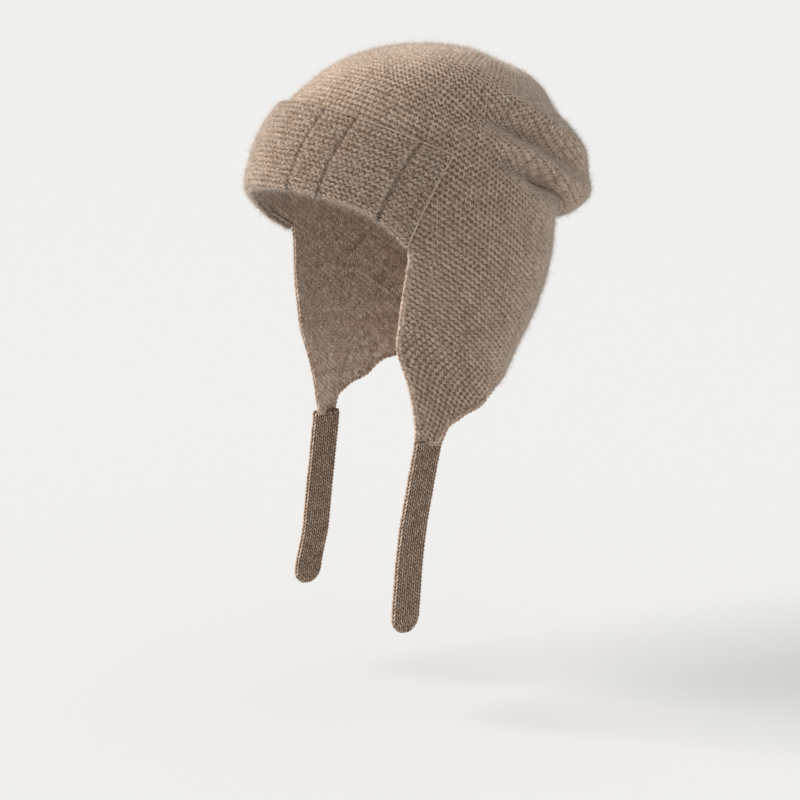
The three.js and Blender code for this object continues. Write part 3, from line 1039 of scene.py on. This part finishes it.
    def edge(self, side: Side) -> tuple[np.ndarray, np.ndarray]:
        """Angles and turns along one half of the free edge, from the band to the middle back.

        Args:
            side: The side of the wearer.

        Returns:
            The angles and the turns.
        """
        front, tip = self.form.flap_front, self.form.tip_back
        top = float(self.form.start(np.array(front), self.tucked))
        down = np.linspace(top, LOWER_EDGE.values[0], 60)
        back = np.linspace(tip, 180, 90)
        round_tip = np.linspace(front, tip, 8)[1:-1]
        angle = np.concatenate([np.full(60, front), round_tip, back])
        turn = np.concatenate([down, LOWER_EDGE.at(round_tip), LOWER_EDGE.at(back)])
        return self.form.swayed(angle, turn) * side.value, turn

    def make_selvages(self) -> bpy.types.Object:
        """Works the chain of plain stitches that finishes every free edge.

        Returns:
            The piece.
        """
        mesh = YarnMesh(sides=4)
        rng = np.random.default_rng(4)
        for side in Side:
            angle, turn = self.edge(side)
            line = self.form.point(angle, turn, -self.form.wall / 2)
            run = np.concatenate([[0], np.linalg.norm(np.diff(line, axis=0), axis=-1).cumsum()])
            marks = np.arange(self.chain_step, run[-1], self.chain_step)
            at_angle, at_turn = np.interp(marks, run, angle), np.interp(marks, run, turn)
            middle = np.stack([np.interp(marks, run, line[:, i]) for i in range(3)], -1)
            forward = unit(np.gradient(middle, axis=0))
            normal = self.form.normal(at_angle, at_turn)
            inward = unit(np.cross(normal, forward)) * side.value
            for face in (1, -1):
                rise = normal * face * self.chain_rise
                for place, lean in zip(self.chain_places, (1, -1)):
                    reach = forward * self.chain_leg - inward * lean * self.chain_lean
                    tint = np.clip(0.42 + 0.25 * rng.normal(size=len(marks)), 0, 1)
                    mesh.legs(
                        middle + inward * place + rise, reach, normal * face,
                        self.chain_bulge, self.chain_yarn, tint,
                    )
        return mesh.make("edge_chain")

    def build(
        self, yarn: bpy.types.Material, felt_shade: bpy.types.Material, loose: bpy.types.Material
    ) -> None:
        """Builds and dresses the hood.

        Args:
            yarn: Material of the stitches.
            felt_shade: Material of the backing.
            loose: Material of the nap.
        """
        backing, (angle, turn, quads, _) = self.make_backing()
        dress(backing, felt_shade, self.node)
        worked = [dress(p, yarn, self.node) for p in self.make_courses()]
        worked.append(dress(self.make_selvages(), yarn, self.node))
        outer = self.form.point(angle, turn, -self.nap_depth)
        inner = self.form.point(angle, turn, -self.form.wall + self.nap_depth)
        normal = self.form.normal(angle, turn)
        level = turn[quads].mean(1)
        for name, low, high, seed in self.nap_parts:
            part = quads[(level >= low) & (level < high)]
            faces = [(*patches(outer, normal, part), 1.0), (*patches(inner, -normal, part), 0.1)]
            nap = Nap(per_square_mm=0.52, seed=seed).grow(f"hood_nap_{name}", faces)
            worked.append(dress(nap, loose, self.node))


def runs_of(kept: np.ndarray, least: int = 4) -> list[slice]:
    """Unbroken stretches of a row.

    Args:
        kept: Whether each point of the row is kept.
        least: The fewest points that a stretch may have.

    Returns:
        A slice for each stretch.
    """
    change = np.flatnonzero(np.diff(np.concatenate([[0], kept.astype(int), [0]])))
    pairs = zip(change[::2], change[1::2])
    return [slice(a, b) for a, b in pairs if b - a >= least]


@dataclass
class TurnedBrim:
    """The front band: knit that is folded up over the brow and sewn down at both ends."""

    form: HatForm
    stitch: Stitch = field(
        default_factory=lambda: Stitch(
            wale=3.5 * MM, course=3.2 * MM, yarn=0.94 * MM, depth=0.72 * MM
        )
    )
    node: str = "turned_up_brim"
    slot: str = "band_knit"
    wall: float = 3.4 * MM
    clearance: float = 0.8 * MM
    groove_depth: float = 2.6 * MM
    groove_width: float = 3.2 * MM
    end_gap: float = 1.1
    end_lean: float = 9.0
    high_middle: float = 3.02
    high_end: float = 3.28
    backing: float = 0.9 * MM
    grooves: tuple[float, ...] = (-0.76, -0.37, -0.14, 0.28, 0.48, 0.83)
    groove_painted_shade: float = 2.2  # how far a groove's tint drops, as painted shade in the sunk rib
    sewing_yarn: float = 0.32 * MM
    sewing_swing: float = 0.3 * MM
    sewing_twist: float = 2.6 * MM  # along the seam for one turn
    sewing_tints: tuple[float, ...] = (0.6, 0.6, 0.3)  # the two ends, then the top edge, whose lower tint is painted shade

    @property
    def arc(self) -> float:
        """Half the band's length along the brow."""
        mean_radius = (self.form.half_length + self.form.half_width) / 2
        return math.radians(self.form.flap_front) * mean_radius

    @property
    def fold_centre(self) -> tuple[float, float]:
        """Middle of the fold: distance outside the knit, and height above the lower edge."""
        face = self.clearance + self.wall / 2
        return (face - self.form.wall / 2) / 2, 3.9 * MM

    @property
    def fold_radius(self) -> float:
        """Radius of the fold at the middle of the knit."""
        return (self.clearance + self.wall / 2 + self.form.wall / 2) / 2

    def groove(self, share: np.ndarray) -> np.ndarray:
        """How deep the sunk ribs are at places along the band."""
        half = self.groove_width / 2 / self.arc
        return sum(
            self.groove_depth * np.exp(-(((share - at) / (0.6 * half)) ** 2)) for at in self.grooves
        )

    def tall(self, share: np.ndarray) -> tuple[np.ndarray, ...]:
        """The band's edges and height.

        Args:
            share: Places along the band, -1 to 1.

        Returns:
            The turns of the lower and upper edge, and the turns in one metre.
        """
        foot = share * (self.form.flap_front - self.end_gap)
        low = self.form.band_low(foot)
        top = self.high_middle + (self.high_end - self.high_middle) * share**2
        return low, top, self.form.turns_of(foot, low, 1.0)

    def length(self, share: np.ndarray) -> np.ndarray:
        """Length of the knit from the inner start of the fold to the free top edge."""
        low, top, turns = self.tall(share)
        return math.pi * self.fold_radius + (top - low) / turns - self.fold_centre[1]

    def place(
        self, share: np.ndarray, run: np.ndarray, outward: np.ndarray
    ) -> tuple[np.ndarray, np.ndarray]:
        """Points on the folded knit.

        Args:
            share: Places along the band, -1 to 1.
            run: Lengths from the inner start of the fold.
            outward: Distances outside the middle of the knit.

        Returns:
            The points, and the outward directions there.
        """
        low, top, turns = self.tall(share)
        centre, level = self.fold_centre
        bend = self.fold_radius * math.pi
        psi = np.clip(run, 0, bend) / self.fold_radius
        deep = np.where(run > bend, self.groove(share), 0) * np.clip((run - bend) / (4 * MM), 0, 1)

        def across(extra: float) -> np.ndarray:
            """Points a little further out than asked."""
            reach = outward + extra
            out = centre - (self.fold_radius + reach) * np.cos(psi) - deep
            rise = level - (self.fold_radius + reach) * np.sin(psi) + np.maximum(run - bend, 0)
            turn = low + rise * turns
            high = (turn - low) / (top - low)
            angle = share * (self.form.flap_front - self.end_gap + self.end_lean * high)
            return self.form.point(angle, turn, out)

        here = across(0.0)
        return here, unit(across(0.05 * MM) - here)

    def make_backing(self) -> tuple[bpy.types.Object, np.ndarray, np.ndarray, np.ndarray]:
        """Makes the thin felted layer in the middle of the band.

        Returns:
            The piece, its outer points, their normals and its faces.
        """
        shares = np.linspace(-1, 1, 91)
        rows = np.concatenate([np.linspace(0, 0.1, 9), np.linspace(0.14, 1, 20)])
        share, row = np.meshgrid(shares, rows, indexing="ij")
        run = row * (self.length(share) - 1.2 * MM)
        half = self.backing / 2
        outer, _ = self.place(share, run, np.full(run.shape, half))
        inner, _ = self.place(share, run, np.full(run.shape, -half))
        skin, normal = self.place(share, run, np.full(run.shape, self.wall / 2 - 0.4 * MM))
        index = np.arange(share.size).reshape(share.shape)
        quads = np.stack([index[:-1, :-1], index[1:, :-1], index[1:, 1:], index[:-1, 1:]], -1)
        quads = quads.reshape(-1, 4)
        piece = thin_sheet(
            "band_backing", inner.reshape(-1, 3), outer.reshape(-1, 3), quads, quads[:0, :3]
        )
        return piece, skin.reshape(-1, 3), normal.reshape(-1, 3), quads

    def make_courses(self) -> bpy.types.Object:
        """Knits the courses, from the fold to the free top edge.

        Returns:
            The piece.
        """
        rng = np.random.default_rng(5)
        mesh = YarnMesh()
        marks = np.linspace(-1, 1, 201)
        middle, _ = self.place(marks, self.length(marks) * 0.6, np.zeros(201))
        run = np.concatenate([[0], np.linalg.norm(np.diff(middle, axis=0), axis=-1).cumsum()])
        count = int(round(run[-1] / self.stitch.wale))
        rows = int(round(float(self.length(marks).mean()) / self.stitch.course))
        for row in range(rows):
            number, along, up, out = self.stitch.swing(count)
            jitter = rng.normal(size=(3, count + 1))[:, number]
            along = along + 0.25 * (row % 2)
            share = np.clip(np.interp(along / count * run[-1], run, marks), -0.995, 0.995)
            reach = np.clip((row + 0.55 + up + 0.1 * jitter[0]) / rows, 0.005, 0.985)
            lift = out * (1 + 0.1 * jitter[1])
            path, normal = self.place(share, reach * self.length(share), lift)
            # Sunk ribs get a lower tint, which is painted shade in the grooves.
            sunk = self.groove(share) / self.groove_depth
            tint = np.clip(0.5 + 0.22 * jitter[2], 0, 1) - self.groove_painted_shade * sunk
            mesh.strands(path[None], normal[None], self.stitch.yarn, tint[None])
        return mesh.make("band_courses")

    def make_seams(self) -> bpy.types.Object:
        """Twists the sewing yarn down the two ends and the bound-off top edge.

        Returns:
            The piece.
        """
        mesh = YarnMesh(sides=5)
        bend = self.fold_radius * math.pi
        lines = []
        for end in (-1.0, 1.0):
            share = np.full(160, end)
            total = self.length(share)
            run = bend * 0.8 + (total - bend * 0.8 - 0.6 * MM) * np.linspace(0, 1, 160)
            lines.append((share, run))
        share = np.linspace(-1, 1, 420)
        lines.append((share, self.length(share) - 0.9 * MM))
        for (share, run), tint in zip(lines, self.sewing_tints):
            path, normal = self.place(share, run, np.full(len(share), self.wall / 2 - 0.35 * MM))
            forward = unit(np.gradient(path, axis=0))
            aside = np.cross(normal, forward)
            length = np.linalg.norm(np.diff(path, axis=0), axis=-1).cumsum()
            twist = np.concatenate([[0], length]) / self.sewing_twist * 2 * math.pi
            for half_turn in (0, math.pi):
                swing = (
                    aside * np.cos(twist + half_turn)[:, None]
                    + normal * np.sin(twist + half_turn)[:, None]
                )
                strand = path + swing * self.sewing_swing
                shade = np.full((1, len(path)), tint)
                mesh.strands(strand[None], normal[None], self.sewing_yarn, shade)
        return mesh.make("band_sewing")

    def build(
        self, yarn: bpy.types.Material, felt_shade: bpy.types.Material, loose: bpy.types.Material
    ) -> None:
        """Builds and dresses the band.

        Args:
            yarn: Material of the stitches.
            felt_shade: Material of the backing.
            loose: Material of the nap.
        """
        backing, skin, normal, quads = self.make_backing()
        dress(backing, felt_shade, self.node)
        worked = [
            dress(self.make_courses(), yarn, self.node),
            dress(self.make_seams(), yarn, self.node),
        ]
        nap = Nap(per_square_mm=0.85, seed=21).grow(
            "band_nap", [(*patches(skin, normal, quads), 1.0)]
        )
        worked.append(dress(nap, loose, self.node))


@dataclass
class FlatTie:
    """A flat double-knit strap with a round end, sewn to the tip of an ear flap."""

    form: HatForm
    name: str
    side: Side
    leg_reach: float = 0.62  # half a leg's length, in courses
    leg_ends: tuple[float, float] = (0.4, 0.1)  # from a stitch's middle, in stitches
    edge_allowance: float = 5 * MM  # the way round the two edges
    wale: float = 2.9 * MM
    course: float = 2.5 * MM
    yarn: float = 0.56 * MM
    rise: float = 0.5 * MM
    slot: str = "tie_knit"
    length: float = 119 * MM
    width: float = 21.5 * MM
    thickness: float = 5 * MM
    swing: float = 18 * MM
    seam_gap: float = 0.3 * MM
    tucked: float = -0.03

    def top(self) -> np.ndarray:
        """Middle of the flap's tip, half-way through the wall, at its lowest level."""
        angle = np.array([self.form.flap_front, self.form.tip_back])
        turn = LOWER_EDGE.at(angle)
        ends = self.form.point(self.form.swayed(angle, turn), turn, -self.form.wall / 2)
        out = self.side.value * ends[:, 0].mean()
        return np.array([out, ends[:, 1].mean(), ends[:, 2].min()])

    def centre(self, share: np.ndarray) -> np.ndarray:
        """Points down the middle of the tie."""
        x, y, z = self.top()
        curve = TIE_FORWARD[self.name]
        share = share * curve.places[-1]
        forward = curve.at(share) * self.swing
        down = z - self.seam_gap - share * self.length
        return np.stack([np.full_like(forward, x), y - forward, down], -1)

    def narrowing(self, share: np.ndarray) -> np.ndarray:
        """The tie's width at shares of its length, as a share of its full width."""
        round_end = self.width / 2 / self.length
        past = np.clip((share - 1 + round_end) / round_end, 0, 0.995)
        return np.sqrt(1 - past**2)

    def place(self, around: np.ndarray, share: np.ndarray, outward: np.ndarray) -> tuple:
        """Points on the strap.

        Args:
            around: Shares of the way round its section.
            share: Shares of its length.
            outward: Distances outside the middle of its knit.

        Returns:
            The points, and the outward directions there.
        """
        inset = self.yarn + self.rise
        slim = self.narrowing(share)
        half = self.thickness / 2 * (0.6 + 0.4 * slim) - inset
        flat = np.maximum(self.width / 2 * slim - inset - half, 0.05 * MM)
        whole = 4 * flat + 2 * math.pi * half
        run = (around % 1.0) * whole
        first, turned = 2 * flat, math.pi * half
        on_front = run < first
        on_edge = (run >= first) & (run < first + turned)
        on_back = (run >= first + turned) & (run < 2 * first + turned)
        bend = np.where(on_edge, (run - first) / half, (run - 2 * first - turned) / half)
        aside = np.where(on_front, run - flat, np.where(on_back, 3 * flat + turned - run, 0))
        aside = np.where(on_edge, flat, np.where(on_front | on_back, aside, -flat))
        level = np.where(on_front | on_back, 0, bend)
        round_edge = np.where(on_edge, np.cos(level), -np.cos(level))
        nx = np.where(on_front, 1, np.where(on_back, -1, round_edge))
        ny = np.where(on_front | on_back, 0, np.where(on_edge, np.sin(level), -np.sin(level)))
        normal = np.stack([nx, -ny, np.zeros_like(nx)], -1)
        point = self.centre(share)
        point[..., 0] += nx * (half + outward)
        point[..., 1] -= aside + ny * (half + outward)
        return point, normal

    def make_core(self) -> bpy.types.Object:
        """Makes the felted core that fills the doubled knit.

        Returns:
            The piece.
        """
        round_end = 1 - 0.1 * np.cos(np.linspace(0.1, 1.5, 10))
        shares = np.concatenate([np.linspace(self.tucked, 0.9, 30), round_end])
        rounds = np.arange(28) / 28
        share, around = np.meshgrid(shares, rounds, indexing="ij")
        points, _ = self.place(around, share, np.full(share.shape, -0.05 * MM))
        index = np.arange(share.size).reshape(share.shape)
        after = np.roll(index, -1, 1)
        quads = np.stack([index[:-1], index[1:], after[1:], after[:-1]], -1).reshape(-1, 4)
        ends = []
        for ring, turn_round in ((index[0], True), (index[-1], False)):
            for k in range(len(ring) // 2 - 1):
                quad = [ring[k], ring[k + 1], ring[-k - 2], ring[-k - 1]]
                ends.append(quad if turn_round else quad[::-1])
        quads = np.concatenate([quads, np.array(ends)])
        return mesh_piece(f"{self.name}_core", points.reshape(-1, 3), quads, quads[:0, :3])

    def make_courses(self) -> bpy.types.Object:
        """Knits the strap, round by round.

        Returns:
            The piece.
        """
        rng = np.random.default_rng(9 + self.side.value)
        mesh = YarnMesh()
        rows = int(round(self.length / self.course))
        full = int(round((2 * self.width - 2 * self.thickness + self.edge_allowance) / self.wale))
        for row in range(-1, rows):
            level = (row + 0.5) / rows
            count = max(5, int(round(full * float(self.narrowing(np.array(level))))))
            half = np.full(2 * count, self.leg_reach * self.course / self.length)
            column = np.repeat(np.arange(count) + 0.5, 2)
            hand = np.tile([-1.0, 1.0], count)
            jitter = rng.normal(size=(2, 2 * count))
            middle = np.clip(level + 0.05 * jitter[0] / rows, self.tucked, 0.985)
            ends = []
            for share, wide in zip((middle - half, middle + half), self.leg_ends):
                around = (column + hand * wide) / count
                share = np.clip(share, self.tucked, 0.996)
                ends.append(self.place(around, share, np.full(share.shape, self.rise)))
            (top, normal), (foot, _) = ends
            tint = np.clip(0.5 + 0.25 * jitter[1], 0, 1)
            mesh.legs((top + foot) / 2, (foot - top) / 2, normal, self.rise, self.yarn, tint)
        return mesh.make(f"{self.name}_courses")

    def build(
        self, yarn: bpy.types.Material, felt_shade: bpy.types.Material, loose: bpy.types.Material
    ) -> None:
        """Builds and dresses the tie.

        Args:
            yarn: Material of the stitches.
            felt_shade: Material of the core.
            loose: Material of the nap.
        """
        core = dress(self.make_core(), felt_shade, self.name)
        worked = [dress(self.make_courses(), yarn, self.name)]
        share, around = np.meshgrid(np.linspace(0, 0.99, 40), np.arange(25) / 24, indexing="ij")
        reach = self.rise + self.yarn * 0.4
        skin, normal = self.place(around, share, np.full(share.shape, reach))
        index = np.arange(share.size).reshape(share.shape)
        quads = np.stack([index[:-1, :-1], index[1:, :-1], index[1:, 1:], index[:-1, 1:]], -1)
        nap = Nap(per_square_mm=0.3, length=1.1 * MM, longest=3 * MM, width=0.09 * MM, seed=31)
        faces = [(*patches(skin.reshape(-1, 3), normal.reshape(-1, 3), quads.reshape(-1, 4)), 1.0)]
        worked.append(dress(nap.grow(f"{self.name}_nap", faces), loose, self.name))


# The studio
@dataclass
class Studio:
    """A pale paper floor, soft light from the left and the camera."""

    floor_level: float = -0.318
    floor_size: float = 600.0
    eye: tuple[float, float, float] = (1.2097, -0.7871, 0.1402)
    pitch: float = 79.5
    azimuth: float = 57.0
    lens: float = 101.25

    def make_camera(self) -> None:
        """Places the camera at the photograph's angle."""
        data = bpy.data.cameras.new("camera")
        data.lens, data.sensor_width = self.lens, 36.0
        camera = bpy.data.objects.new("camera", data)
        camera.location = self.eye
        camera.rotation_euler = (math.radians(self.pitch), 0, math.radians(self.azimuth))
        bpy.context.scene.collection.objects.link(camera)
        bpy.context.scene.camera = camera

    def make_floor(self, paper: bpy.types.Material) -> None:
        """Lays the floor.

        Args:
            paper: Its material.
        """
        bpy.ops.object.select_all(action="DESELECT")
        bpy.ops.mesh.primitive_plane_add(size=self.floor_size, location=(0, 0, self.floor_level))
        floor = bpy.context.object
        floor.name = "floor"
        bpy.ops.object.transform_apply(location=True, rotation=True, scale=True)
        floor.data.materials.append(paper)

    def make_lights(self) -> None:
        """Sets the soft key light on the picture's left, and an even pale surround."""
        key = bpy.data.lights.new("key", "SUN")
        key.energy, key.angle = 3.1, math.radians(40)
        key.color = linear("#fffaf4")[:3]
        lamp = bpy.data.objects.new("key", key)
        lamp.rotation_euler = (math.radians(52), 0, math.radians(-30))
        bpy.context.scene.collection.objects.link(lamp)
        world = bpy.data.worlds.new("surround")
        world.use_nodes = True
        world.node_tree.nodes["Background"].inputs["Color"].default_value = linear("#f3f4f3")
        world.node_tree.nodes["Background"].inputs["Strength"].default_value = 0.6
        bpy.context.scene.world = world


def main() -> None:
    """Builds the hat and the studio, in order."""
    logging.basicConfig(level=logging.INFO, format="%(message)s")
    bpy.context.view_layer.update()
    studio = Studio()
    studio.make_camera()
    form = HatForm()
    body_yarn = BrushedYarn("brushed_wool_taupe", "#9d8472", "#cfb5a2", "#efdccd").material()
    # The band uses the body's wool in darker shades: painted shade that tones down the band where
    # the key light falls.
    band_yarn_painted_shade = BrushedYarn("brushed_wool_taupe_band_painted_shade", "#917968", "#c3a996", "#e7d4c5").material()
    tie_yarn = BrushedYarn(
        "fine_wool_taupe", "#9c8472", "#ceb39f", "#f0dccb", heather=1.6, ply=0.8, sheen=0.3
    ).material()
    # Its dark tones are painted shade for the gaps between stitches, the hat's inside and the tie
    # cores.
    felt_shade = FeltWithPaintedShade("felted_wool_painted_shade", "#66513f", "#8d7663").material()
    # The fibres' pale colours are painted light, for light passing through them.
    loose = LooseFibre("loose_wool_fibre", "#d6c3b3", "#f8efe5").material()
    KnitHood(form).build(body_yarn, felt_shade, loose)
    TurnedBrim(form).build(band_yarn_painted_shade, felt_shade, loose)
    for name, side in (("tie_left", Side.LEFT), ("tie_right", Side.RIGHT)):
        FlatTie(form, name, side).build(tie_yarn, felt_shade, loose)
    studio.make_floor(MattePaper("seamless_paper", "#e3e4e5").material())
    studio.make_lights()
    bpy.context.scene.view_settings.view_transform = "Standard"


if __name__ == "__main__":
    main()
